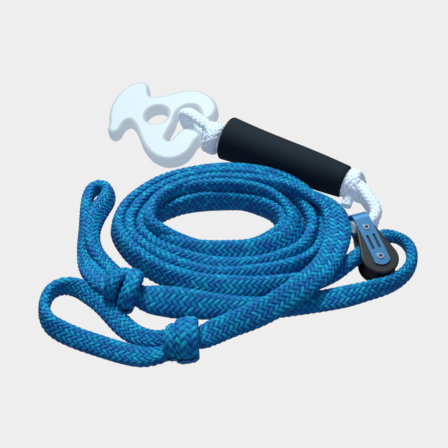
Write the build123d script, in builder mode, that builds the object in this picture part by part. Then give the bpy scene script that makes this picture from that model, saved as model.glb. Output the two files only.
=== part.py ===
from build123d import *
import math
import os

# Boat tow harness: a rope bridle on a pulley block, with a float and a quick connector on a lanyard.
# Everything lies on a flat surface at Z = 0, as the harness does when it is put away.

os.makedirs("parts", exist_ok=True)

# ---------------------------------------------------------------- driving dimensions, mm
rope_d = 12.7  # bridle: 1/2 in hollow braid
lanyard_d = 9.5  # lanyard: 3/8 in rope
gap = 0.3  # air between soft pieces on different bodies

# Places on the surface are measured from the coil's centre, which lies here from the origin.
coil_x, coil_y = -12.0, -71.6

# Pulley block, in its own frame: X across, Y from the axle to the crown, Z along the axle.
axle_place = (124.9, -37.3, 12.9)
block_heading = 19.3  # degrees that the block's X axis turns from the row's X axis
block_pitch = 11.0  # degrees that the crown is lifted by the lanyard under it
crown_reach = 30.5  # axle to crown rivet
cheek_gap = 15.0
cheek_t = 2.2
cheek_r = 16.0
cheek_crown_r = 9.0
strap_w = 14.0
strap_t = 1.2
strap_tail = 8.5  # strap beyond the axle
strap_slot_len = 15.0
becket_reach = 39.8  # axle to the centre of the strap's bend
rivet_r = 2.5
rivet_bore_r = 1.3
rivet_head_r = 3.4
rivet_head_t = 0.8
bush_r = 4.0
running_fit = 0.05
sheave_r = 14.0
sheave_w = 14.2
groove_r = 8.5  # groove bottom, from the axle
groove_half_w = 6.45  # at the sheave's rim

# Float, a tapered tube lying on its side.
float_big_r = 20.5
float_small_r = 14.5
float_bore_r = 10.3
float_big_end = (-3.0, 114.5)
float_small_end = (103.0, 62.0)
float_edge = 2.5
float_travel = 3.0  # towards the connector, until it meets the knot

# Quick connector, a thick flat moulding, in its own frame: X towards the lanyard, Z up through it.
connector_place = (-43.0, 145.0, 18.2)
connector_heading = -20.0
connector_slope = (0.14, 0.12)  # rise per mm along the row's X and Y
connector_t = 15.0
connector_edge = 3.6
eye_place = (-27.0, -5.0)
eye_r = 11.0
hook_outline = [(28, 4), (29, 16), (20, 28), (6, 34.5), (-8, 34), (-20, 27), (-31, 20.5)]
anchor_outline = [(-42.5, 16.5), (-47, 24), (-50, 32.5), (-58, 35.5), (-68, 30), (-75, 16), (-77, 0)]
fluke_outline = [(-74, -14), (-69, -25), (-68, -34), (-60, -37), (-55.5, -32), (-55.5, -22)]
jaw_outline = [(-52, -16), (-44, -21), (-36, -31), (-27, -43), (-14, -54), (1, -58), (14, -53), (21, -42)]
mouth_outline = [(22, -29), (26, -21), (18, -15), (4, -14.5)]
slot_outline = [(-2.7, -34.5), (-8.6, -31), (-7.2, -10)]
cavity_outline = [(-8.8, -2), (-7.5, 7), (-1, 13.5), (8, 13.5), (14, 6.5), (18, -0.5), (24, -1.5)]

# Coil, an oval ring.
coil_half_x, coil_half_y = 104.0, 73.5
coil_mid_x, coil_mid_y = -2.5, 2.5
hole_half_x, hole_half_y = 51.0, 29.0
hole_x, hole_y = -6.0, 9.0
coil_h = 26.0

# Knots, barrel-shaped lumps.
knot_len, knot_r = 26.0, 19.5


# ---------------------------------------------------------------- frames
def at(x, y, z=0.0):
    """A place measured from the coil's centre, in the row's frame."""
    return Vector(coil_x + x, coil_y + y, z)


heading = math.radians(block_heading)
pitch = math.radians(block_pitch)
block_x = Vector(math.cos(heading), math.sin(heading), 0)
block_y = Vector(
    -math.sin(heading) * math.cos(pitch), math.cos(heading) * math.cos(pitch), math.sin(pitch)
)
block = Plane(origin=at(*axle_place), x_dir=block_x, z_dir=block_x.cross(block_y))

slope_x, slope_y = connector_slope
turn = math.radians(connector_heading)
connector = Plane(
    origin=at(*connector_place),
    x_dir=Vector(math.cos(turn), math.sin(turn), slope_x * math.cos(turn) + slope_y * math.sin(turn)),
    z_dir=Vector(-slope_x, -slope_y, 1),
)

float_start = at(*float_big_end, float_big_r)
float_end = at(*float_small_end, float_small_r)
float_axis = (float_end - float_start).normalized()
float_len = (float_end - float_start).length
float_frame = Plane(origin=float_start, x_dir=Vector(0, 0, 1).cross(float_axis), z_dir=float_axis)


def through(frame):
    """The plane of a turned part's profile: X is the radius and Y runs along the frame's Z."""
    return Plane(origin=frame.origin, x_dir=frame.x_dir, z_dir=-frame.y_dir)


# ---------------------------------------------------------------- ropes
def corner_radii(points):
    """Each corner's arc, as large as its two runs allow."""
    radii = []
    for before, here, after in zip(points, points[1:], points[2:]):
        run_in, run_out = here - before, after - here
        half_turn = math.radians(run_in.get_angle(run_out)) / 2
        radii.append(0.45 * min(run_in.length, run_out.length) / math.tan(half_turn))
    return radii


def check_tube(name, tube, length, diameter, radii):
    """Prints the tightest arcs and compares the volume with section times length."""
    wanted = math.pi * diameter**2 / 4 * length
    print(f"{name}: length {length:.0f}, volume ratio {tube.volume / wanted:.4f}")
    print("  radii", " ".join(f"{r:.0f}" for r in radii))


def rope_tube(name, points, diameter):
    """A plain tube along straight runs joined by arcs."""
    radii = corner_radii(points)
    with BuildPart() as tube:
        with BuildLine() as route:
            FilletPolyline(*points, radius=radii)
        with BuildSketch(Plane(origin=route.line @ 0, z_dir=route.line % 0)):
            Circle(diameter / 2)
        sweep()
    check_tube(name, tube.part, route.wires()[0].length, diameter, radii)
    return tube.part


def write(part, name):
    part.label = name
    export_step(part, f"parts/{name}.step")


# ---------------------------------------------------------------- pulley block
half_gap = cheek_gap / 2
strap_mid_z = half_gap + cheek_t + strap_t / 2
head_z = half_gap + cheek_t + strap_t


def cheek_outline():
    Circle(cheek_r)
    with Locations((0, crown_reach - 2)):
        Circle(cheek_crown_r)
    make_hull()
    with Locations((0, 0), (0, crown_reach)):
        Circle(rivet_r, mode=Mode.SUBTRACT)


with BuildPart() as upper_cheek:
    with BuildSketch(block.offset(half_gap)):
        cheek_outline()
    extrude(amount=cheek_t)
    rim = upper_cheek.faces().sort_by(Axis(block.origin, block.z_dir))[-1].outer_wire().edges()
    fillet(rim, radius=1.4)
write(upper_cheek.part, "upper_cheek")

with BuildPart() as lower_cheek:
    with BuildSketch(block.offset(-half_gap)):
        cheek_outline()
    extrude(amount=-cheek_t)
    rim = lower_cheek.faces().sort_by(Axis(block.origin, block.z_dir))[0].outer_wire().edges()
    fillet(rim, radius=1.4)
write(lower_cheek.part, "lower_cheek")

# The strap is one strip bent into a U round the becket, on the block's Y-Z plane.
bend_r = strap_mid_z
side = Plane(origin=block.origin, x_dir=block.y_dir, z_dir=block.x_dir)
with BuildPart() as becket_strap:
    with BuildSketch(side):
        with BuildLine():
            Line((-strap_tail, strap_mid_z - strap_t / 2), (-strap_tail, strap_mid_z + strap_t / 2))
            Line((-strap_tail, strap_mid_z + strap_t / 2), (becket_reach, strap_mid_z + strap_t / 2))
            CenterArc((becket_reach, 0), bend_r + strap_t / 2, -90, 180)
            Line((becket_reach, -strap_mid_z - strap_t / 2), (-strap_tail, -strap_mid_z - strap_t / 2))
            Line((-strap_tail, -strap_mid_z - strap_t / 2), (-strap_tail, -strap_mid_z + strap_t / 2))
            Line((-strap_tail, -strap_mid_z + strap_t / 2), (becket_reach, -strap_mid_z + strap_t / 2))
            CenterArc((becket_reach, 0), bend_r - strap_t / 2, -90, 180)
            Line((becket_reach, strap_mid_z - strap_t / 2), (-strap_tail, strap_mid_z - strap_t / 2))
        make_face()
    extrude(amount=strap_w / 2, both=True)
    # Round tails, rivet holes and the two lightening slots go through both arms.
    with BuildSketch(block.offset(-2 * head_z)):
        with Locations((0, -strap_tail)):
            Rectangle(2 * strap_w, 2 * strap_tail)
        Circle(strap_tail, mode=Mode.SUBTRACT)
        with Locations((0, 0), (0, crown_reach)):
            Circle(rivet_r)
        with Locations((-2.9, crown_reach / 2), (2.9, crown_reach / 2)):
            SlotOverall(strap_slot_len, 2.3, rotation=90)
    extrude(amount=4 * head_z, mode=Mode.SUBTRACT)
write(becket_strap.part, "becket_strap")


def rivet(x, y):
    """A hollow rivet along the block's Z with a flat domed head on each side."""
    place = Plane(origin=block.from_local_coords((x, y, 0)), x_dir=block.x_dir, z_dir=block.z_dir)
    with BuildPart() as body:
        with BuildSketch(through(place)):
            with BuildLine():
                Polyline(
                    (rivet_bore_r, -head_z - rivet_head_t),
                    (rivet_head_r - 0.5, -head_z - rivet_head_t),
                    (rivet_head_r, -head_z),
                    (rivet_r, -head_z),
                    (rivet_r, head_z),
                    (rivet_head_r, head_z),
                    (rivet_head_r - 0.5, head_z + rivet_head_t),
                    (rivet_bore_r, head_z + rivet_head_t),
                    close=True,
                )
            make_face()
        revolve(axis=Axis(place.origin, place.z_dir))
    return body.part


write(rivet(0, 0), "axle_rivet")
write(rivet(0, crown_reach), "crown_rivet")

with BuildPart() as axle_bush:
    with BuildSketch(block.offset(-half_gap)):
        Circle(bush_r)
        Circle(rivet_r, mode=Mode.SUBTRACT)
    extrude(amount=cheek_gap)
write(axle_bush.part, "axle_bush")

with BuildPart() as crown_spacer:
    with BuildSketch(block.offset(-half_gap)):
        with Locations((0, crown_reach)):
            Circle(bush_r)
            Circle(rivet_r, mode=Mode.SUBTRACT)
    extrude(amount=cheek_gap)
write(crown_spacer.part, "crown_spacer")

with BuildPart() as sheave:
    with BuildSketch(through(block)):
        with BuildLine():
            Polyline(
                (sheave_r, -groove_half_w),
                (sheave_r, -sheave_w / 2),
                (bush_r + running_fit, -sheave_w / 2),
                (bush_r + running_fit, sheave_w / 2),
                (sheave_r, sheave_w / 2),
                (sheave_r, groove_half_w),
            )
            ThreePointArc((sheave_r, groove_half_w), (groove_r, 0), (sheave_r, -groove_half_w))
        make_face()
    revolve(axis=Axis(block.origin, block.z_dir))
write(sheave.part, "sheave")

# ---------------------------------------------------------------- bridle rope
with BuildPart() as bridle_coil:
    with BuildSketch(Plane.XY):
        with Locations(at(coil_mid_x, coil_mid_y)):
            Ellipse(coil_half_x, coil_half_y)
        with Locations(at(hole_x, hole_y)):
            Ellipse(hole_half_x, hole_half_y, mode=Mode.SUBTRACT)
    extrude(amount=coil_h)
    fillet(bridle_coil.faces().sort_by(Axis.Z)[-1].edges(), radius=8)
    fillet(bridle_coil.faces().sort_by(Axis.Z)[0].edges(), radius=3)
write(bridle_coil.part, "bridle_coil")


def knot(centre, heading_deg, length, radius):
    """A barrel-shaped lump of rope lying along the heading."""
    along = math.radians(heading_deg)
    frame = Plane(
        origin=centre, x_dir=(0, 0, 1), z_dir=(math.cos(along), math.sin(along), 0)
    )
    waist = 0.72 * radius
    with BuildPart() as body:
        with BuildSketch(through(frame)):
            with BuildLine():
                ThreePointArc((waist, -length / 2), (radius, 0), (waist, length / 2))
                Polyline((waist, length / 2), (0, length / 2), (0, -length / 2), (waist, -length / 2))
            make_face()
        revolve(axis=Axis(frame.origin, frame.z_dir))
    return body.part


port_knot_place = (-88, -71)
starboard_knot_place = (-37, -126)
write(knot(at(*port_knot_place, knot_r), 152, knot_len, knot_r), "port_knot")
write(knot(at(*starboard_knot_place, knot_r), 190, knot_len, knot_r), "starboard_knot")


def in_block(x, y):
    """A point of the rope between the cheeks, on the block's middle plane."""
    return block.from_local_coords(Vector(x, y, 0))


pulley_route = [
    at(-77, -76, 15),
    at(-66, -79, 12),
    at(-47, -81, 9),
    at(-23, -84, 8),
    at(3, -85, 7.5),
    at(29, -85, 7),
    at(53, -81, 7),
    at(75, -77, 7),
    at(95, -72, 7),
    at(113, -67, 7),
    at(131, -62, 7.5),
    at(145, -51.5, 8),
    at(153.8, -38, 9),
    at(155.8, -25, 10),
    at(153.8, -16.5, 11.5),
    at(148.3, -10.3, 13),
    at(139.8, -7.8, 15),
    at(130.6, -10.4, 17.4),
    in_block(0, 16.4),
    in_block(-10, 12.8),
    in_block(-20, 9.0),
    at(93, -42, 11),
    at(83, -48.5, 8),
    at(72, -54, 7.5),
]
write(rope_tube("pulley_run", pulley_route, rope_d), "pulley_run")

crossing_route = [
    at(85, -35, 20),
    at(78, -52, 22),
    at(67, -67, 22.5),
    at(51, -81, 22),
    at(35, -91, 18),
    at(18, -98, 13),
    at(0, -105, 10),
    at(-15, -114, 11),
    at(-25, -122, 15),
]
write(rope_tube("crossing_run", crossing_route, rope_d), "crossing_run")

port_loop_route = [
    at(-100, -71, 17),
    at(-111, -64, 19),
    at(-120, -52, 17),
    at(-128, -36, 11),
    at(-133, -15, 8),
    at(-135, 10, 7.5),
    at(-138, 33, 7.5),
    at(-140, 50, 7.5),
    at(-135.3, 61.3, 8),
    at(-124, 66, 8),
    at(-112.7, 61.3, 8),
    at(-108, 50, 8),
    at(-112, 33, 8),
    at(-118, 12, 8),
    at(-119.5, -10, 8),
    at(-114, -28, 9),
    at(-105, -42, 12),
    at(-95, -56, 16),
]
write(rope_tube("port_loop", port_loop_route, rope_d), "port_loop")

starboard_loop_route = [
    at(-50, -121, 14),
    at(-62, -121, 10),
    at(-76, -115, 7.5),
    at(-87, -105, 7),
    at(-97, -92, 6.8),
    at(-106, -80, 6.6),
    at(-117, -70, 6.6),
    at(-128, -62, 7),
    at(-139.5, -59, 7.5),
    at(-150, -64.5, 8),
    at(-154, -75, 8),
    at(-154, -89, 8),
    at(-149, -101, 7.5),
    at(-139, -109, 7.5),
    at(-124, -115, 7),
    at(-106, -121, 7),
    at(-88, -128, 7),
    at(-70, -134.5, 8),
    at(-52, -136, 13),
]
write(rope_tube("starboard_loop", starboard_loop_route, rope_d), "starboard_loop")

# ---------------------------------------------------------------- lanyard
leg_offset = lanyard_d / 2 + 0.2
leg_past_end = 4.0
with BuildPart() as lanyard_legs:
    with BuildSketch(float_frame.offset(-float_travel - leg_past_end)):
        with Locations((-leg_offset, 0), (leg_offset, 0)):
            Circle(lanyard_d / 2)
    extrude(amount=float_len + float_travel + 2 * leg_past_end)
write(lanyard_legs.part, "lanyard_legs")


def lump(centre, half_along, half_across, half_z):
    """A soft rounded lump of rope, its short side along the float's axis."""
    ball = scale(Sphere(1), by=(half_along, half_across, half_z))
    axis_heading = math.degrees(math.atan2(float_axis.Y, float_axis.X))
    return Pos(*centre) * Rot(0, 0, axis_heading) * ball


knot_half = 7.5
becket_knot_half = 10.0
connector_knot_centre = float_start - float_axis * (knot_half + float_travel + gap)
connector_knot_centre = Vector(connector_knot_centre.X, connector_knot_centre.Y, 16.0)
becket_knot_centre = float_end + float_axis * (becket_knot_half + gap)
becket_knot_centre = Vector(becket_knot_centre.X, becket_knot_centre.Y, 14.5)
write(lump(connector_knot_centre, knot_half, 13.5, 14.0), "connector_knot")
write(lump(becket_knot_centre, becket_knot_half, 14.5, 13.5), "becket_knot")

# The becket loop comes through the strap's bend, turns down beside it and goes back under it.
under_bend = strap_mid_z + strap_t / 2 + lanyard_d / 2 + 0.35


def becket_point(x, z):
    return block.from_local_coords(Vector(x, becket_reach, z))


upper_becket_route = [
    at(121, 55, 19),
    at(129, 45, 22),
    at(133, 32, 23),
    at(131, 19, 22.5),
    becket_point(10, 0.0),
    becket_point(-8.5, 0.5),
]
lower_becket_route = [
    becket_point(-2, -under_bend),
    becket_point(9, -under_bend),
    at(130, 20, 5.3),
    at(131.5, 33, 5),
    at(127, 45, 6),
    at(119, 52, 9),
]
upper_becket = rope_tube("becket_loop, upper run", upper_becket_route, lanyard_d)
lower_becket = rope_tube("becket_loop, lower run", lower_becket_route, lanyard_d)
write(Compound([upper_becket, lower_becket]), "becket_loop")

tail_start, tail_end = at(109, 50, 11), at(104, 38.5, 5.4)
with BuildPart() as lanyard_tail:
    with BuildSketch(Plane(origin=tail_start, z_dir=tail_end - tail_start)):
        Circle(lanyard_d / 2)
    extrude(amount=(tail_end - tail_start).length)
    fillet(lanyard_tail.faces().sort_by(Axis.Z)[0].edges(), radius=1.5)
write(lanyard_tail.part, "lanyard_tail")

# ---------------------------------------------------------------- float
with BuildPart() as foam_float:
    with BuildSketch(through(float_frame)) as profile:
        with BuildLine():
            Polyline(
                (float_bore_r, 0),
                (float_big_r, 0),
                (float_small_r, float_len),
                (float_bore_r, float_len),
                close=True,
            )
        make_face()
        fillet(profile.vertices().sort_by(Axis.X)[-2:], radius=float_edge)
    revolve(axis=Axis(float_frame.origin, float_frame.z_dir))
write(foam_float.part, "foam_float")

# ---------------------------------------------------------------- quick connector
outline = hook_outline + anchor_outline + fluke_outline + jaw_outline
outline += mouth_outline + slot_outline + cavity_outline
corners = [Vector(x, y) for x, y in outline]
with BuildPart() as quick_connector:
    with BuildSketch(connector.offset(-connector_t / 2)):
        with BuildLine():
            FilletPolyline(*corners, radius=corner_radii([corners[-1], *corners, corners[0]]), close=True)
        make_face()
        with Locations(eye_place):
            Circle(eye_r, mode=Mode.SUBTRACT)
    extrude(amount=connector_t)
    across = quick_connector.faces().sort_by(Axis(connector.origin, connector.z_dir))
    print("connector flats", across[0].area, across[-1].area)
    fillet(across[0].edges() + across[-1].edges(), radius=connector_edge)
write(quick_connector.part, "quick_connector")

# The lanyard's end loop enters by the mouth and turns down through the cavity.
connector_knot_local = connector.to_local_coords(connector_knot_centre)
loop_towards = Vector(6, 0, 0) - connector_knot_local
loop_towards = Vector(loop_towards.X, loop_towards.Y, 0).normalized()


def loop_point(reach, z):
    """A point of the end loop at a reach from the knot's centre."""
    spot = connector_knot_local + loop_towards * reach
    return connector.from_local_coords(Vector(spot.X, spot.Y, z))


end_loop = [(11.5, 8.5), (23.0, 10.3), (34.5, 10.8), (40.8, 4.5)]
end_loop_route = [loop_point(reach, z) for reach, z in end_loop]
end_loop_route += [loop_point(reach, -z) for reach, z in reversed(end_loop)]
write(rope_tube("connector_loop", end_loop_route, lanyard_d), "connector_loop")

print("axle", block.origin, "axis", block.z_dir)
print("becket", becket_point(0, 0), "axis", block.x_dir)
print("float axis", float_axis)
print("connector knot", connector_knot_centre)
print("eye", connector.from_local_coords(Vector(*eye_place, 0)), "axis", connector.z_dir, "X", connector.x_dir)
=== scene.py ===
import math

import bpy
import numpy as np
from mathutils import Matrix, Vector


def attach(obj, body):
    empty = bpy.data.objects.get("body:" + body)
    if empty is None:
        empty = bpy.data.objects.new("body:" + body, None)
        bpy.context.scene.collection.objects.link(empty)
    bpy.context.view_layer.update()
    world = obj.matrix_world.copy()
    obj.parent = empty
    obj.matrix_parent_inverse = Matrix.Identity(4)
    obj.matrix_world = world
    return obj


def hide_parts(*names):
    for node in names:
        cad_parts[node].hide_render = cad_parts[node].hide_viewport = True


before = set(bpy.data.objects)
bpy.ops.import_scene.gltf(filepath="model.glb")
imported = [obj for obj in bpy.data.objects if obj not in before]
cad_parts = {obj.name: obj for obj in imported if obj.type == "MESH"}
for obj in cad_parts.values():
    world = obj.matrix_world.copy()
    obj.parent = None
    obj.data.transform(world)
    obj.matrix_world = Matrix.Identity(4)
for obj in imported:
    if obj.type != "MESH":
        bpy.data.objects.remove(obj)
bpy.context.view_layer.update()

MM = 0.001
COIL = np.array([-12.0, -71.6, 0.0])  # the coil's centre in the row frame, mm


def at(x, y, z=0.0):
    """A place measured from the coil's centre, in metres in the row frame."""
    return (COIL + np.array([x, y, z])) * MM


# ---------------------------------------------------------------- camera, floor and light
CAMERA_LENS, CAMERA_SENSOR = 90, 36  # mm
CAMERA_ELEVATION = math.radians(45)
CAMERA_DISTANCE = 1.001  # m
FLOOR_HALF_SIDE = 20  # m, so wide that no low view sees its edge
FLOOR_HEIGHT = -0.0004  # m, just under what rests on it
FLOOR_STRENGTH = 0.855  # renders as the photo's plain background

camera_data = bpy.data.cameras.new("camera")
camera_data.lens = CAMERA_LENS
camera_data.sensor_width = CAMERA_SENSOR
camera = bpy.data.objects.new("camera", camera_data)
bpy.context.collection.objects.link(camera)
aim = Vector(at(-6, 22, 0))
towards_camera = Vector((0, -math.cos(CAMERA_ELEVATION), math.sin(CAMERA_ELEVATION)))
camera.location = aim + towards_camera * CAMERA_DISTANCE
camera.rotation_euler = (aim - camera.location).to_track_quat("-Z", "Y").to_euler()
bpy.context.scene.camera = camera
bpy.context.scene.view_settings.view_transform = "Standard"


def white_floor():
    """A plain ground that gives off an even light and so shows no shadow."""
    edge = FLOOR_HALF_SIDE
    mesh = bpy.data.meshes.new("floor")
    corners = [(-edge, -edge, 0), (edge, -edge, 0), (edge, edge, 0), (-edge, edge, 0)]
    mesh.from_pydata(corners, [], [(0, 1, 2, 3)])
    mesh.update()
    m = bpy.data.materials.new("floor_white")
    m.use_nodes = True
    nodes = m.node_tree.nodes
    nodes.clear()
    out = nodes.new("ShaderNodeOutputMaterial")
    light = nodes.new("ShaderNodeEmission")
    light.inputs["Color"].default_value = (1, 1, 1, 1)
    light.inputs["Strength"].default_value = FLOOR_STRENGTH
    m.node_tree.links.new(light.outputs[0], out.inputs["Surface"])
    mesh.materials.append(m)
    obj = bpy.data.objects.new("floor", mesh)
    bpy.context.collection.objects.link(obj)
    obj.location.z = FLOOR_HEIGHT
    obj.visible_diffuse = False
    obj.visible_glossy = False
    return obj


floor = white_floor()

world = bpy.data.worlds.new("studio")
bpy.context.scene.world = world
world.use_nodes = True
background = world.node_tree.nodes["Background"]
background.inputs["Color"].default_value = (0.78, 0.68, 1.0, 1)  # violet, as the photo's shade is
background.inputs["Strength"].default_value = 0.30


def area_light(name, place, size, power, colour):
    """A round light, in metres and watts, turned towards the middle of the floor."""
    data = bpy.data.lights.new(name, "AREA")
    data.shape = "DISK"
    data.size = size
    data.energy = power
    data.color = colour
    obj = bpy.data.objects.new(name, data)
    bpy.context.collection.objects.link(obj)
    obj.location = place
    obj.rotation_euler = (-obj.location).to_track_quat("-Z", "Y").to_euler()


area_light("key", place=(-0.35, 1.0, 1.5), size=0.5, power=44, colour=(0.84, 1.0, 1.0))
area_light("fill", place=(0.5, -1.4, 1.2), size=1.4, power=3.5, colour=(0.84, 0.84, 1.0))


# ---------------------------------------------------------------- node helpers
def shader_of(m):
    return m.node_tree.nodes["Principled BSDF"]


def material(name):
    """A new material, with its nodes, its links and its main shader."""
    m = bpy.data.materials.new(name)
    m.use_nodes = True
    return m, m.node_tree.nodes, m.node_tree.links, shader_of(m)


def add_node(nodes, kind, **inputs):
    """A node with some of its sockets set to constants."""
    n = nodes.new(kind)
    for key, value in inputs.items():
        n.inputs[key.replace("_", " ")].default_value = value
    return n


def ramp(nodes, stops):
    """A colour ramp with the given places and colours."""
    n = nodes.new("ShaderNodeValToRGB")
    elements = n.color_ramp.elements
    while len(elements) < len(stops):
        elements.new(0.5)
    for element, (position, colour) in zip(elements, stops):
        element.position = position
        element.color = (*colour, 1)
    return n


def maths(nodes, links, operation, a, b=None):
    """A maths node on one or two values or sockets."""
    n = nodes.new("ShaderNodeMath")
    n.operation = operation
    for socket, value in zip(n.inputs, (a, b)):
        if value is None:
            continue
        if isinstance(value, (int, float)):
            socket.default_value = value
        else:
            links.new(value, socket)
    return n.outputs[0]


def attribute(nodes, name):
    """The mesh attribute of that name, as one number."""
    n = nodes.new("ShaderNodeAttribute")
    n.attribute_name = name
    return n.outputs["Fac"]


def add_painted_glow(m, colour, strength):
    """Painted light: an even glow that lifts the shaded sides of a pale material."""
    shader = shader_of(m)
    shader.inputs["Emission Color"].default_value = (*colour, 1)
    shader.inputs["Emission Strength"].default_value = strength


def add_bump(nodes, links, bsdf, height, strength, distance):
    bump = add_node(nodes, "ShaderNodeBump", Strength=strength, Distance=distance)
    links.new(height, bump.inputs["Height"])
    links.new(bump.outputs["Normal"], bsdf.inputs["Normal"])


YARNS_ACROSS = 3.0  # yarns seen across one strand
NOISE_SHARE, PAINTED_SHADE_SHARE, YARN_SHARE = 0.45, 0.34, 0.09  # shares of the ramp's input, which is random tone plus painted shade; the height share paints the gaps darker as shade; the strand's tint adds too


def rope_material(name, stops, sheen, roughness, spread, shine):
    """Braided rope. Tint differs from strand to strand by spread, the gaps are painted darker as
    shade, and each strand is a bundle of yarns. Shine is the specular level and its tint."""
    m, nodes, links, bsdf = material(name)
    tint = attribute(nodes, "tint")
    height = attribute(nodes, "height")
    noise = add_node(nodes, "ShaderNodeTexNoise", Scale=260.0, Detail=3.0)
    across = attribute(nodes, "across")

    def scaled(value, share):
        return maths(nodes, links, "MULTIPLY", value, share)

    def summed(a, b):
        return maths(nodes, links, "ADD", a, b)

    yarn = maths(nodes, links, "SINE", scaled(across, 2 * math.pi * YARNS_ACROSS))
    tone_and_painted_shade = scaled(noise.outputs["Fac"], NOISE_SHARE)
    tone_and_painted_shade = summed(tone_and_painted_shade, scaled(tint, spread))
    # Painted shade: where the weave sits low, in the gaps and where a strand dives, the colour is
    # darker.
    tone_and_painted_shade = summed(tone_and_painted_shade, scaled(height, PAINTED_SHADE_SHARE))
    tone_and_painted_shade = summed(tone_and_painted_shade, scaled(yarn, YARN_SHARE))
    colour = ramp(nodes, stops)
    links.new(tone_and_painted_shade, colour.inputs["Fac"])
    links.new(colour.outputs["Color"], bsdf.inputs["Base Color"])
    relief = summed(scaled(yarn, 0.5), noise.outputs["Fac"])
    add_bump(nodes, links, bsdf, relief, strength=0.55, distance=0.0004)
    bsdf.inputs["Roughness"].default_value = roughness
    bsdf.inputs["Sheen Weight"].default_value = sheen
    bsdf.inputs["Sheen Roughness"].default_value = 0.4
    bsdf.inputs["Specular IOR Level"].default_value = shine[0]
    bsdf.inputs["Specular Tint"].default_value = (*shine[1], 1)
    return m


# The low violet stops are painted shade: the gaps, the diving strands and the core fall on them.
blue_rope = rope_material(
    "blue_rope",
    [
        (0.05, (0.045, 0.016, 0.17)), (0.30, (0.030, 0.050, 0.30)), (0.55, (0.006, 0.13, 0.41)),
        (0.76, (0.003, 0.28, 0.49)), (0.93, (0.03, 0.52, 0.66)),
    ],
    sheen=0.0, roughness=0.5, spread=0.32, shine=(0.9, (0.02, 0.62, 0.78)),
)
white_rope = rope_material(
    "white_rope",
    [
        (0.0, (0.42, 0.57, 0.67)), (0.35, (0.68, 0.80, 0.87)), (0.7, (0.82, 0.90, 0.93)),
        (1.0, (0.93, 0.96, 0.96)),
    ],
    sheen=0.2, roughness=0.6, spread=0.15, shine=(0.4, (1.0, 1.0, 1.0)),
)
# Painted light: a faint bluish glow lifts the white rope's shade.
add_painted_glow(white_rope, (0.70, 0.90, 1.0), 0.13)


# ---------------------------------------------------------------- rope geometry
def spline_points(name, points):
    """Points along a smooth NURBS curve whose control points are the route's, in metres."""
    curve = bpy.data.curves.new(name, "CURVE")
    curve.dimensions = "3D"
    spline = curve.splines.new("NURBS")
    spline.points.add(len(points) - 1)
    for p, co in zip(spline.points, points):
        p.co = (*co, 1)
    spline.order_u = 3  # quadratic, which along_controls relies on
    spline.use_endpoint_u = True
    spline.resolution_u = 24
    obj = bpy.data.objects.new(name, curve)
    bpy.context.collection.objects.link(obj)
    mesh = bpy.data.meshes.new_from_object(obj)
    line = np.array([v.co[:] for v in mesh.vertices])
    bpy.data.objects.remove(obj)
    bpy.data.curves.remove(curve)
    bpy.data.meshes.remove(mesh)
    return line


def even(line, step):
    """The line at even steps, and each point's place along the control points, from 0 to 1."""
    seg = np.linalg.norm(np.diff(line, axis=0), axis=1)
    s = np.concatenate([[0], np.cumsum(seg)])
    n = max(8, int(round(s[-1] / step)))
    want = np.linspace(0, s[-1], n + 1)
    u = np.interp(want, s, np.linspace(0, 1, len(line)))
    return np.stack([np.interp(want, s, line[:, i]) for i in range(3)], axis=1), u, want


def along_controls(u, values):
    """Values given at a quadratic spline's control points, read at its places u."""
    n = len(values)
    where = np.concatenate([[0], np.arange(n - 2) + 0.5, [n - 2]]) / (n - 2)
    return np.interp(u, where, values)


def unit(v):
    return v / np.maximum(np.linalg.norm(v, axis=-1, keepdims=True), 1e-12)


def tangents(p):
    return unit(np.gradient(p, axis=0))


def upright_frames(p, roll):
    """Across and up directions, rolled about the line from lying flat."""
    t = tangents(p)
    side = unit(np.cross(t, [0, 0, 1.0]))
    up = np.cross(side, t)
    c, s = np.cos(roll)[:, None], np.sin(roll)[:, None]
    return side * c + up * s, up * c - side * s


def carried_frames(p):
    """Frames carried along the line without twist, for a round rope."""
    t = tangents(p)
    side = unit(np.cross(t[0], [0.1, 0.3, 1.0]))  # any direction off the line will do
    out = []
    for i in range(len(p)):
        side = unit(side - t[i] * np.dot(side, t[i]))
        out.append(side)
    side = np.array(out)
    return side, np.cross(t, side)


SECTION_POWER = 2.7  # of the superellipse that a flattened rope's section is
TABLE_ASPECT = 1.8  # width over thickness of the section that the strands are spaced on


def rounded(value):
    """A cosine or sine, bent from the circle's to the superellipse's."""
    return np.sign(value) * np.abs(value) ** (2 / SECTION_POWER)


# Angle against distance round the section, so that the strands are spaced evenly round it.
table_angle = np.linspace(0, 2 * math.pi, 721)
table_x = TABLE_ASPECT * rounded(np.cos(table_angle))
table_y = rounded(np.sin(table_angle))
table_length = np.concatenate([[0], np.cumsum(np.hypot(np.diff(table_x), np.diff(table_y)))])
table_length = table_length / table_length[-1]


def section(fraction, half_w, half_t):
    """Place and outward normal on the rope's rounded flat section."""
    angle = np.interp(fraction % 1.0, table_length, table_angle)
    cx, sy = rounded(np.cos(angle)), rounded(np.sin(angle))
    nx = np.sign(cx) * np.abs(cx) ** (SECTION_POWER - 1) / half_w
    ny = np.sign(sy) * np.abs(sy) ** (SECTION_POWER - 1) / half_t
    size = np.hypot(nx, ny)
    return cx * half_w, sy * half_t, nx / size, ny / size


def set_attribute(mesh, name, values):
    attribute_data = mesh.attributes.new(name, "FLOAT", "POINT")
    attribute_data.data.foreach_set("value", np.asarray(values, np.float32).ravel())


def grid_faces(rows, columns, start, closed=False):
    """Quads of a grid of vertices numbered row by row."""
    across = columns if closed else columns - 1
    i, j = np.meshgrid(np.arange(rows - 1), np.arange(across), indexing="ij")
    k = (j + 1) % columns
    here, above = i * columns, (i + 1) * columns
    quads = np.stack([here + j, here + k, above + k, above + j], axis=-1)
    return quads.reshape(-1, 4) + start


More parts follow.
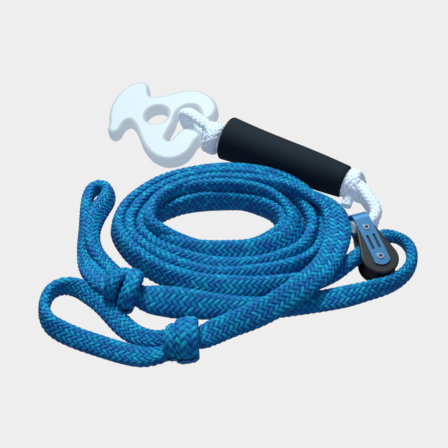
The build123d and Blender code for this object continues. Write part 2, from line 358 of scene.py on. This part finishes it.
def array_mesh(name, verts, quads, mat, attributes=()):
    """A smooth object of one material from arrays of vertices and quads."""
    mesh = bpy.data.meshes.new(name)
    mesh.vertices.add(len(verts))
    mesh.vertices.foreach_set("co", np.asarray(verts, np.float32).ravel())
    mesh.loops.add(quads.size)
    mesh.loops.foreach_set("vertex_index", quads.astype(np.int32).ravel())
    mesh.polygons.add(len(quads))
    mesh.polygons.foreach_set("loop_start", np.arange(0, quads.size, 4, dtype=np.int32))
    mesh.polygons.foreach_set("use_smooth", np.ones(len(quads), bool))
    mesh.update(calc_edges=True)
    mesh.validate()
    for key, values in attributes:
        set_attribute(mesh, key, values)
    mesh.materials.append(mat)
    obj = bpy.data.objects.new(name, mesh)
    bpy.context.collection.objects.link(obj)
    return obj


VERTS_ACROSS = 4  # of one strand
STRAND_COVER = 0.97  # share of its place that a strand fills
WEAVE_GAIN = 1.35  # how long a strand stays over or under before it dives
TINTS_A_STRAND = 97  # random tints drawn for each strand
CORE_SIDES = 20
CORE_STEP = 2  # the core takes every second point of the line
CORE_DEPTH = 0.7  # of a strand's arch, below the middle of a strand that dives
CORE_PAINTED_SHADE = -0.4  # painted shade, as dark as the gap between strands


def braid(
    name, p, across, up, half_w, half_t, lead, carriers, mat, relief=0.00055, arch=0.0005, seed=0
):
    """Right-hand and left-hand strands, over two and under two, and the core they cover, painted
    dark as shade.
    """
    steps = np.linalg.norm(np.diff(p, axis=0), axis=1)
    s = np.concatenate([[0], np.cumsum(steps)])
    crossing = 2 * carriers * s / lead
    columns = np.linspace(-0.5, 0.5, VERTS_ACROSS)
    bow = (2 * columns[None, :]) ** 2
    tints = np.random.default_rng(seed).random(2 * carriers * TINTS_A_STRAND)
    objects = []
    for hand, letter in ((1, "right"), (-1, "left")):
        verts, quads, tint, height, over_u = [], [], [], [], []
        for k in range(carriers):
            if hand == 1:
                phase = 2 * k + crossing
            else:
                phase = 2 * k - crossing + 2
            weave = np.clip(WEAVE_GAIN * np.cos(math.pi / 2 * (phase - 0.5)), -1, 1)
            fraction = k / carriers + hand * s / lead
            f = fraction[:, None] + columns[None, :] * STRAND_COVER / carriers
            x, y, nx, ny = section(f, half_w[:, None], half_t[:, None])
            lift = relief * weave[:, None] - arch * bow
            x, y = x + nx * lift, y + ny * lift
            v = p[:, None, :] + across[:, None, :] * x[..., None] + up[:, None, :] * y[..., None]
            quads.append(grid_faces(len(p), len(columns), sum(map(len, verts))))
            verts.append(v.reshape(-1, 3))
            # One tint for each length that the strand shows between two dives, with strides
            # that keep the tints of neighbours apart.
            shown = np.floor((phase - 0.5) / 4 + 0.5).astype(int)
            value = tints[(shown * 13 + k * 7 + (hand + 1) * 29) % len(tints)]
            tint.append(np.repeat(value[:, None], len(columns), axis=1).ravel())
            # Height is 1 where a strand lies over the others, and low in the gaps beside it; the
            # material paints the low places darker, as shade.
            height.append((0.5 + 0.5 * weave[:, None] - 0.45 * bow).ravel())
            over_u.append(np.tile(columns, len(p)))
        attributes = [("tint", tint), ("height", height), ("across", over_u)]
        obj = array_mesh(
            f"{name}_{letter}", np.concatenate(verts), np.concatenate(quads), mat,
            [(key, np.concatenate(values)) for key, values in attributes],
        )
        objects.append(obj)
    keep = slice(None, None, CORE_STEP)
    line = p[keep]
    f = np.tile(np.arange(CORE_SIDES) / CORE_SIDES, (len(line), 1))
    x, y, nx, ny = section(f, half_w[keep, None], half_t[keep, None])
    inset = relief + arch * CORE_DEPTH
    x, y = x - nx * inset, y - ny * inset
    v = line[:, None, :] + across[keep, None, :] * x[..., None] + up[keep, None, :] * y[..., None]
    # Painted shade: the core gets the darkness of the gaps.
    flat = np.zeros(v.shape[0] * v.shape[1])
    core = array_mesh(
        f"{name}_core", v.reshape(-1, 3), grid_faces(len(line), CORE_SIDES, 0, closed=True), mat,
        [("tint", flat), ("height", flat + CORE_PAINTED_SHADE), ("across", flat)],
    )
    objects.append(core)
    return objects


# ---------------------------------------------------------------- bridle
STEP = 0.0016  # m between two rows of a rope's vertices
BRIDLE_LEAD = 0.072  # m along the rope in which a strand goes once round it
BRIDLE_STRANDS = 14  # of each hand

# The block's own axes and the middle of its axle, as the CAD lays it.
heading = math.radians(19.3)
pitch = math.radians(11.0)
block_x = np.array([math.cos(heading), math.sin(heading), 0])
block_y = np.array([
    -math.sin(heading) * math.cos(pitch), math.cos(heading) * math.cos(pitch), math.sin(pitch)
])
block_z = np.cross(block_x, block_y)
axle = at(124.9, -37.3, 12.9)


def in_block(x, y, z=0.0):
    """A place in the block's own frame, in mm, as a place in the row frame, in metres."""
    return axle + (block_x * x + block_y * y + block_z * z) * MM


# Each control point: its place in metres, width and thickness in mm, and roll in degrees, where 0
# lies flat and 90 stands on edge.
route = []


def add(place, width, thick, roll):
    route.append((np.asarray(place, float), width, thick, roll))


def add_all(rows):
    """Control points as x, y and z from the coil's centre in mm, width, thickness and roll."""
    for x, y, z, width, thick, roll in rows:
        add(at(x, y, z), width, thick, roll)


# Port loop, out of the knot and back.
add(at(-84, -74, 20), 12, 9, 0)
add_all([
    (-99, -71, 17, 14, 9, 20), (-108, -64, 18, 17, 9, 10), (-116, -52, 15, 18, 9, 5),
    (-123, -36, 10.5, 16, 9, 25), (-126.5, -15, 9.5, 15, 10, 50), (-128, 10, 9.5, 15, 10, 70),
    (-129.5, 31, 9.5, 15, 10, 80), (-129, 47, 9.5, 15, 10, 85), (-126, 57, 9.5, 16, 10, 80),
    (-118, 60.5, 9.5, 16, 10, 80), (-111, 56, 9.5, 16, 10, 75), (-110, 44, 10.5, 17, 10, 65),
    (-115, 30, 13, 18, 9.5, 55), (-119.5, 12, 16, 17, 9.5, 50), (-121, -9, 17.5, 15, 9, 45),
    (-115.5, -28, 17, 14, 9, 40), (-105, -42, 15, 13, 9, 20), (-95, -56, 17, 13, 9, 0),
])
# Through the knot, then the run to the block.
add(at(-87, -68, 19), 13, 9, 0)
add_all([
    (-77, -76, 15, 18, 9, -10), (-66, -79, 13, 24, 9, -25), (-47, -81, 12, 26, 8, -35),
    (-23, -84, 11.5, 23, 8, -35), (3, -85, 10, 19, 9, -30), (29, -85, 9, 18, 9, -25),
    (53, -81, 9, 18, 9, -20), (75, -77, 9, 18, 9, -20), (95, -72, 9, 18, 9, -25),
    (113, -66, 9, 16, 9, -40), (131, -60, 9.5, 15, 9, -60), (145, -50, 9.5, 14, 9, -75),
    (153.2, -38, 10, 14, 9, -85), (155.4, -25, 10.5, 14, 9, -85), (153.6, -16.5, 11.5, 13, 9, -80),
    (148.3, -10.3, 13, 13, 9.5, -60), (139.8, -7.8, 15, 12.5, 10, -30),
])
add(at(130.6, -10.4, 17.4), 12, 11, 0)
add(in_block(0, 16.4), 12, 11.5, 0)
add(in_block(-10, 12.8), 12, 11.5, 0)
add(in_block(-20, 9.0), 12.5, 11, 0)
add_all([
    (93, -42, 11, 14, 9.5, 30), (83, -48.5, 9, 15, 9, 45), (68, -55, 9, 17, 9, 45),
    (48, -60, 9.5, 19, 9, 45), (24, -64, 10, 20, 9.5, 44),
])

# The coil, clockwise seen from above. Each row is the middle of one side of a turn: which side, how
# far from the coil's middle, height, width, thickness, roll, and how square the corner after it is.
MIDDLE = (-5.0, 8.0)
quarters = [
    ("front", 73, 11, 22, 9.5, 44, 1.7), ("left", 96, 10, 19, 10.5, 82, 2.0),
    ("back", 64.5, 17.5, 19, 9, 98, 2.3), ("right", 87, 9.5, 18, 10, 95, 2.5),
    ("front", 61, 10, 20, 9.5, 47, 1.8), ("left", 85, 10.5, 20, 10.5, 84, 2.0),
    ("back", 56.5, 19.5, 19, 9, 98, 2.2), ("right", 77, 12, 19, 10.5, 88, 2.5),
    ("front", 48, 9.5, 18, 9.5, 38, 1.9), ("left", 75, 11, 20, 10.5, 86, 2.0),
    ("back", 41.5, 20, 18, 8, 98, 2.1), ("right", 63, 15, 22, 10, 45, 2.2),
    ("front", 34, 12, 22, 9.5, 45, 2.0), ("left", 66, 9.6, 18, 10, 86, 2.0),
    ("back", 33.5, 10.2, 19.5, 8, 98, 2.0), ("right", 52, 11, 20, 10.5, 95, 1.8),
    ("front", 24.5, 7, 13, 9, 90, 2.0), ("left", 67, 23, 14, 10, 84, 2.0),
    ("back", 49, 20, 18, 9, 98, 2.0), ("right", 97.5, 22, 23, 8.5, 12, 2.0),
]
quarter_angle = {"front": -90, "left": -180, "back": -270, "right": -360}
PER_QUARTER = 5  # control points
# Hand-coiled rope never lies quite even: a little is added to or taken from each control point.
loose = np.random.default_rng(21)
SLACK_X, SLACK_Y, SLACK_WIDTH, SLACK_ROLL = 0.012, 0.022, 1.2, 8
for before, after in zip(quarters, quarters[1:]):
    start, end = quarter_angle[before[0]], quarter_angle[before[0]] - 90
    extent_x = before[1] if before[0] in ("left", "right") else after[1]
    extent_y = before[1] if before[0] in ("front", "back") else after[1]
    bend = 2 / before[6]
    for i in range(PER_QUARTER):
        f = i / PER_QUARTER
        a = math.radians(start + (end - start) * f)
        g = 0.5 - 0.5 * math.cos(math.pi * f)
        x = extent_x * math.copysign(abs(math.cos(a)) ** bend, math.cos(a))
        y = extent_y * math.copysign(abs(math.sin(a)) ** bend, math.sin(a))
        z, width, thick, roll = [before[n] + (after[n] - before[n]) * g for n in (2, 3, 4, 5)]
        slack = loose.uniform(-1, 1, 4)
        x, y = x * (1 + SLACK_X * slack[0]), y * (1 + SLACK_Y * slack[1])
        place = at(MIDDLE[0] + x, MIDDLE[1] + y, z)
        add(place, width + SLACK_WIDTH * slack[2], thick, roll + SLACK_ROLL * slack[3])
add(at(92.5, 6, 22), 23, 8.5, 10)
add_all([
    (92, -14, 22, 23, 8.5, 8), (86, -34, 22, 22, 8.5, 8), (77, -52, 22.5, 21, 8.5, 12),
    (65, -67, 23, 21, 9, 20), (50, -80, 22, 21, 9, 28), (35, -90, 18, 21, 9, 32),
    (18, -98, 14.5, 21, 9, 35), (0, -105, 12.5, 20, 9, 35), (-15, -114, 13.5, 20, 9, 32),
    (-25, -122, 15, 18, 9, 15),
])
# Through the knot, then the starboard loop.
add(at(-37, -124, 18), 13, 9, 0)
add_all([
    (-50, -121, 15, 14, 9, 15), (-62, -121, 12, 15, 8.5, 25), (-76, -115, 10, 16, 8.5, 30),
    (-87, -105, 9.5, 17, 8.5, 30), (-97, -92, 9.5, 17, 8.5, 28), (-106, -80, 9.5, 17, 8.5, 28),
    (-117, -70, 9.5, 17, 8.5, 35), (-128, -62, 9, 16, 8.5, 50), (-139.5, -60, 9.5, 15, 9, 70),
    (-149.5, -65.5, 9.5, 14, 9, 85), (-153.5, -76, 9.5, 14, 9, 92), (-153.5, -89, 9.5, 15, 9, 100),
    (-148.5, -100.5, 9.5, 16, 9, 115), (-139, -108.5, 9.5, 17, 9, 132),
    (-124, -116.5, 9, 17, 8.5, 148), (-106, -123.5, 8.5, 17, 8.5, 153),
    (-88, -130.5, 8.5, 17, 8.5, 155), (-70, -136.5, 9, 16, 9, 160), (-52, -136, 13, 13, 9, 180),
    (-40, -130, 17, 12, 9, 180),
])

line = spline_points("bridle_line", [p for p, *_ in route])
bridle_path, bridle_u, bridle_s = even(line, STEP)
bridle_w = along_controls(bridle_u, [w for _, w, _, _ in route]) * MM / 2
bridle_t = along_controls(bridle_u, [t for _, _, t, _ in route]) * MM / 2
bridle_roll = np.radians(along_controls(bridle_u, [r for *_, r in route]))
# None of the rope goes below the floor: where a section would, it is lifted to rest on it.
STRAND_RISE = 0.0007  # m that the strands stand out of the section
dual = SECTION_POWER / (SECTION_POWER - 1)
hang_w = (bridle_w * np.abs(np.sin(bridle_roll))) ** dual
hang_t = (bridle_t * np.abs(np.cos(bridle_roll))) ** dual
bridle_path[:, 2] = np.maximum(bridle_path[:, 2], (hang_w + hang_t) ** (1 / dual) + STRAND_RISE)
across, up = upright_frames(bridle_path, bridle_roll)
bridle = braid(
    "bridle", bridle_path, across, up, bridle_w, bridle_t, BRIDLE_LEAD, BRIDLE_STRANDS, blue_rope,
    seed=1,
)


# ---------------------------------------------------------------- knots
TURN_POINTS = 16  # control points of one turn
TURN_LEAD, TURN_STRANDS = 0.055, 10  # m, and of each hand, in the bridle's knots


def turn(
    name, centre, axis_deg, offset, radius_flat, radius_up, tilt, lean, width, thick, seed,
    mat=blue_rope, lead=TURN_LEAD, strands=TURN_STRANDS,
):
    """One turn of rope round a knot: an oval loop across the knot's axis, tilted and leaning."""
    a = math.radians(axis_deg)
    axis = np.array([math.cos(a), math.sin(a), 0.0])
    flat = np.array([-math.sin(a), math.cos(a), 0.0])
    centre = np.asarray(centre)
    points = []
    for i in range(TURN_POINTS + 1):
        f = math.radians(360 * i / TURN_POINTS)
        shift = offset + tilt * math.cos(f) + lean * math.sin(f)
        level = centre + (axis * shift + flat * radius_flat * math.cos(f)) * MM
        points.append(level + np.array([0, 0, radius_up * math.sin(f) * MM]))
    p, _, _ = even(spline_points(name, points), STEP)
    t = tangents(p)
    outward = unit(p - centre - np.outer((p - centre) @ axis, axis))
    outward = unit(outward - t * np.sum(outward * t, axis=1, keepdims=True))
    side = np.cross(t, outward)
    half_w = np.full(len(p), width * MM / 2)
    half_t = np.full(len(p), thick * MM / 2)
    return braid(name, p, side, outward, half_w, half_t, lead, strands, mat, seed=seed)


port_centre = at(-88, -71, 18)
starboard_centre = at(-37, -126, 18)
port_turns = turn("port_turn_a", port_centre, 152, 3.0, 13, 12.5, 3, 2, 11.5, 8, 2)
port_turns += turn("port_turn_b", port_centre, 152, -6.0, 15, 13, -4, -3, 13, 9, 3)
starboard_turns = turn("starboard_turn_a", starboard_centre, 190, -2.0, 15, 13.5, 2, 0, 18, 8, 4)
starboard_turns += turn("starboard_turn_b", starboard_centre, 190, 8.0, 11.5, 10, 4, 3, 11, 8, 5)

for piece in bridle + port_turns + starboard_turns:
    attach(piece, "block")
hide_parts("bridle_coil", "pulley_run", "crossing_run", "port_loop", "starboard_loop")
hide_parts("port_knot")
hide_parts("starboard_knot")


# ---------------------------------------------------------------- lanyard
LANYARD_LEAD = 0.040  # m
LANYARD_STRANDS = 8  # of each hand
WRAP_LEAD = 0.036  # m, in the turns of its knots


def lanyard_rope(name, points, seed, width=4.6, thick=4.6):
    """A braided rope along control points in the row frame, its half width and thickness in mm."""
    p, _, s = even(spline_points(name + "_line", points), STEP)
    side, top = carried_frames(p)
    half_w, half_t = np.full(len(p), width * MM), np.full(len(p), thick * MM)
    pieces = braid(
        name, p, side, top, half_w, half_t, LANYARD_LEAD, LANYARD_STRANDS, white_rope,
        relief=0.0004, arch=0.0004, seed=seed,
    )
    return pieces, p, float(s[-1])


float_start, float_end = at(-3, 114.5, 20.5), at(103, 62, 14.5)
float_axis = unit(float_end - float_start)
LEG_OFFSET = 4.9  # mm from the float's axis to each of the two legs in its bore
leg_side = unit(np.cross(float_axis, [0, 0, 1.0])) * LEG_OFFSET * MM
CROWN = 39.8  # mm from the axle to the strap's bend
BECKET_DEPTH = -15.9  # mm, the lower run's height in the block's frame, under the strap's bend


def along_float(mm, side):
    """A place on one of the two legs, so far from the float's big end."""
    return float_start + float_axis * mm * MM + leg_side * side


upper_run = [
    in_block(-7.5, CROWN, 0.5), in_block(0, CROWN, 0.3), in_block(10, CROWN, 0.0),
    at(127.5, 12, 22.5), at(127, 22, 23), at(122, 33, 23), at(119, 44, 22), at(115, 53, 19),
    at(110, 59, 16), along_float(121, -1), along_float(112, -1), along_float(60, -1),
    along_float(4, -1), along_float(-6, -1),
]
lower_run = [
    in_block(-2, CROWN, BECKET_DEPTH), in_block(9, CROWN, BECKET_DEPTH),
    at(127.5, 17, 5.8), at(128, 30, 5.6), at(123, 42, 6.5), at(116, 51, 9), at(110, 56, 12),
    along_float(121, 1), along_float(112, 1), along_float(60, 1), along_float(4, 1),
    along_float(-6, 1),
]
stub = [at(110, 57, 13), at(108.5, 50, 12), at(105.5, 43, 8), at(103.5, 38.5, 6.2)]
upper_rope, upper_path, upper_length = lanyard_rope("lanyard_upper", upper_run, 11, 4.8, 4.6)
lower_rope, lower_path, lower_length = lanyard_rope("lanyard_lower", lower_run, 12, 4.3, 4.3)
tail_rope, _, _ = lanyard_rope("lanyard_stub", stub, 19)

becket_centre = at(111.5, 57.8, 14.5)
connector_centre = at(-12.7, 119.3, 16)
FLOAT_HEADING = math.degrees(math.atan2(float_axis[1], float_axis[0]))


def white_turn(name, centre, *size, seed):
    """A turn of the white rope, across the float's axis."""
    return turn(
        name, centre, FLOAT_HEADING, *size, seed, mat=white_rope, lead=WRAP_LEAD,
        strands=LANYARD_STRANDS,
    )


# Each turn's offset along the axis, its two radii, tilt, lean, width and thickness, in mm.
becket_turns = white_turn(
    "becket_turn_a", becket_centre, -4.5, 10.0, 9.5, 1, 2, 12, 7.5, seed=13
)
becket_turns += white_turn(
    "becket_turn_b", becket_centre, 3.5, 10.5, 9.8, -3, -4, 12, 8, seed=14
)
connector_turns = white_turn(
    "connector_turn_a", connector_centre, -0.5, 11.5, 11.5, 1, 1.5, 10, 8, seed=16
)
connector_turns += white_turn(
    "connector_turn_b", connector_centre, -7.0, 10.5, 11.0, -2, 2, 10, 8, seed=17
)

# The connector's own axes and origin in the row frame, as the CAD lays it.
connector_x = np.array([0.935867, -0.340628, 0.090146])
connector_z = np.array([-0.137679, -0.118011, 0.983422])
connector_y = np.cross(connector_z, connector_x)
connector_origin = np.array([-55, 73.4, 18.2]) * MM
knot_offset = connector_centre - connector_origin
knot_local = np.array([np.dot(knot_offset, axis) for axis in (connector_x, connector_y)]) / MM
CAVITY_WALL = np.array([6.0, 0.0])  # mm in the connector's frame, where the loop goes round
towards = unit(CAVITY_WALL - knot_local)


def end_loop(reach, z):
    """A place on the connector's end loop: reach from the knot and height in the connector."""
    x, y = knot_local + towards * reach
    return connector_origin + (connector_x * x + connector_y * y + connector_z * z) * MM


loop_places = [(7, 6.5), (13, 8.8), (23, 10.3), (33, 11.2), (39.5, 9.0), (41.5, 4.5), (41.5, 0)]
loop_places += [(reach, -z) for reach, z in reversed(loop_places[:-1])]
loop_route = [end_loop(*place) for place in loop_places]
loop_rope, loop_path, loop_length = lanyard_rope("connector_end", loop_route, 18, 6.6, 4.0)

for piece in upper_rope + lower_rope + tail_rope + becket_turns + connector_turns:
    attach(piece, "lanyard")
for piece in loop_rope:
    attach(piece, "connector")
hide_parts("becket_loop", "lanyard_legs", "lanyard_tail")
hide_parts("becket_knot")
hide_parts("connector_knot")
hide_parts("connector_loop")

# ---------------------------------------------------------------- plastic, foam and metal
def tone_and_bump(nodes, links, bsdf, noise, colour, dark, bump, distance):
    """A colour that noise makes a little darker or lighter, with a fine grain from that noise."""
    stops = [(0.3, tuple(c * dark for c in colour)), (0.7, tuple(min(1, c * 1.1) for c in colour))]
    tone = ramp(nodes, stops)
    links.new(noise.outputs["Fac"], tone.inputs["Fac"])
    links.new(tone.outputs["Color"], bsdf.inputs["Base Color"])
    add_bump(nodes, links, bsdf, noise.outputs["Fac"], bump, distance)


def plastic(name, colour, roughness, grain_scale, grain):
    m, nodes, links, bsdf = material(name)
    noise = add_node(nodes, "ShaderNodeTexNoise", Scale=grain_scale, Detail=4.0)
    tone_and_bump(nodes, links, bsdf, noise, colour, dark=0.86, bump=grain, distance=0.0002)
    bsdf.inputs["Roughness"].default_value = roughness
    return m


def metal(name, colour, roughness):
    """Metal brushed along the object's Y."""
    m, nodes, links, bsdf = material(name)
    noise = add_node(nodes, "ShaderNodeTexNoise", Scale=60.0, Detail=5.0)
    stretch = nodes.new("ShaderNodeMapping")
    stretch.inputs["Scale"].default_value = (30.0, 2.0, 30.0)
    where = nodes.new("ShaderNodeTexCoord")
    links.new(where.outputs["Object"], stretch.inputs["Vector"])
    links.new(stretch.outputs["Vector"], noise.inputs["Vector"])
    tone_and_bump(nodes, links, bsdf, noise, colour, dark=0.85, bump=0.1, distance=0.0001)
    bsdf.inputs["Metallic"].default_value = 0.75
    bsdf.inputs["Roughness"].default_value = roughness
    return m


connector_plastic = plastic(
    "connector_plastic", (0.19, 0.20, 0.18), roughness=0.5, grain_scale=90.0, grain=0.05
)
# Painted light: a bluish glow on a dark base keeps the shaded edges light and blue.
add_painted_glow(connector_plastic, (0.70, 0.85, 0.99), 0.47)
black_plastic = plastic(
    "black_plastic", (0.010, 0.011, 0.012), roughness=0.42, grain_scale=700.0, grain=0.25
)
foam = plastic("foam", (0.006, 0.014, 0.021), roughness=0.8, grain_scale=900.0, grain=0.5)
shader_of(foam).inputs["Specular IOR Level"].default_value = 0.2
strap_metal = metal("strap_metal", (0.075, 0.25, 0.46), roughness=0.42)
rivet_metal = metal("rivet_metal", (0.45, 0.58, 0.70), roughness=0.3)


def dress(node, mat):
    """Gives a CAD node a material in every slot."""
    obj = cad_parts[node]
    if not obj.material_slots:
        obj.data.materials.append(mat)
    for place in obj.material_slots:
        place.link = "OBJECT"
        place.material = mat


for node in ("upper_cheek", "lower_cheek", "sheave"):
    dress(node, black_plastic)
dress("becket_strap", strap_metal)
for node in ("axle_bush", "axle_rivet", "crown_rivet", "crown_spacer"):
    dress(node, rivet_metal)
dress("quick_connector", connector_plastic)


# ---------------------------------------------------------------- float
FOAM_START, FOAM_END = at(-3.2, 115.6, 20.9), at(104, 61, 15.2)
BIG_RADIUS, SMALL_RADIUS, BORE_RADIUS = 20.8, 15.1, 10.0  # mm
RIM_RADIUS, RIM_STEPS = 2.2, 5
FOAM_OVER = 0.6  # mm that each end stands past the line's ends
WAIST = 0.45  # mm
BORE_DEPTH = 6.0  # mm that the bore's wall goes in from each end
FOAM_STEPS, FOAM_SIDES = 40, 96


def float_mesh():
    """A tapered foam tube with rounded rims, slightly uneven as cut foam is."""
    foam_axis = unit(FOAM_END - FOAM_START)
    length = float(np.linalg.norm(FOAM_END - FOAM_START)) / MM
    rim, over = RIM_RADIUS, FOAM_OVER
    outline = [(BORE_RADIUS, BORE_DEPTH), (BORE_RADIUS, 1.0 - over)]
    rim_angles = [math.radians(90 * i / RIM_STEPS) for i in range(RIM_STEPS + 1)]
    for f in rim_angles:
        outline.append((BIG_RADIUS - rim + rim * math.sin(f), -over + rim - rim * math.cos(f)))
    for i in range(1, FOAM_STEPS):
        f = i / FOAM_STEPS
        radius = BIG_RADIUS + (SMALL_RADIUS - BIG_RADIUS) * f - WAIST * math.sin(2 * math.pi * f)
        outline.append((radius, -over + rim + (length - 2 * rim + 2 * over) * f))
    for f in rim_angles:
        radius = SMALL_RADIUS - rim + rim * math.cos(f)
        outline.append((radius, length + over - rim + rim * math.sin(f)))
    outline += [(BORE_RADIUS, length + over - 1.0), (BORE_RADIUS, length - BORE_DEPTH)]
    outline = np.array(outline)
    f = np.linspace(0, 2 * math.pi, FOAM_SIDES, endpoint=False)
    up_axis = np.cross(unit(leg_side), foam_axis)
    side_axis = np.cross(foam_axis, up_axis)
    oval = 0.006 * np.sin(2 * f)[None, :] * np.cos(outline[:, 1:2] / 37)
    lumps = 0.004 * np.sin(3 * f + 1)[None, :]
    r = outline[:, :1] * (1 + oval + lumps)
    radial = np.cos(f)[None, :, None] * up_axis + np.sin(f)[None, :, None] * side_axis
    v = FOAM_START + outline[:, 1, None, None] * MM * foam_axis + r[..., None] * MM * radial
    quads = grid_faces(len(outline), FOAM_SIDES, 0, closed=True)
    return array_mesh("float_foam", v.reshape(-1, 3), quads, foam)


float_piece = float_mesh()
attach(float_piece, "float")
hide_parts("foam_float")
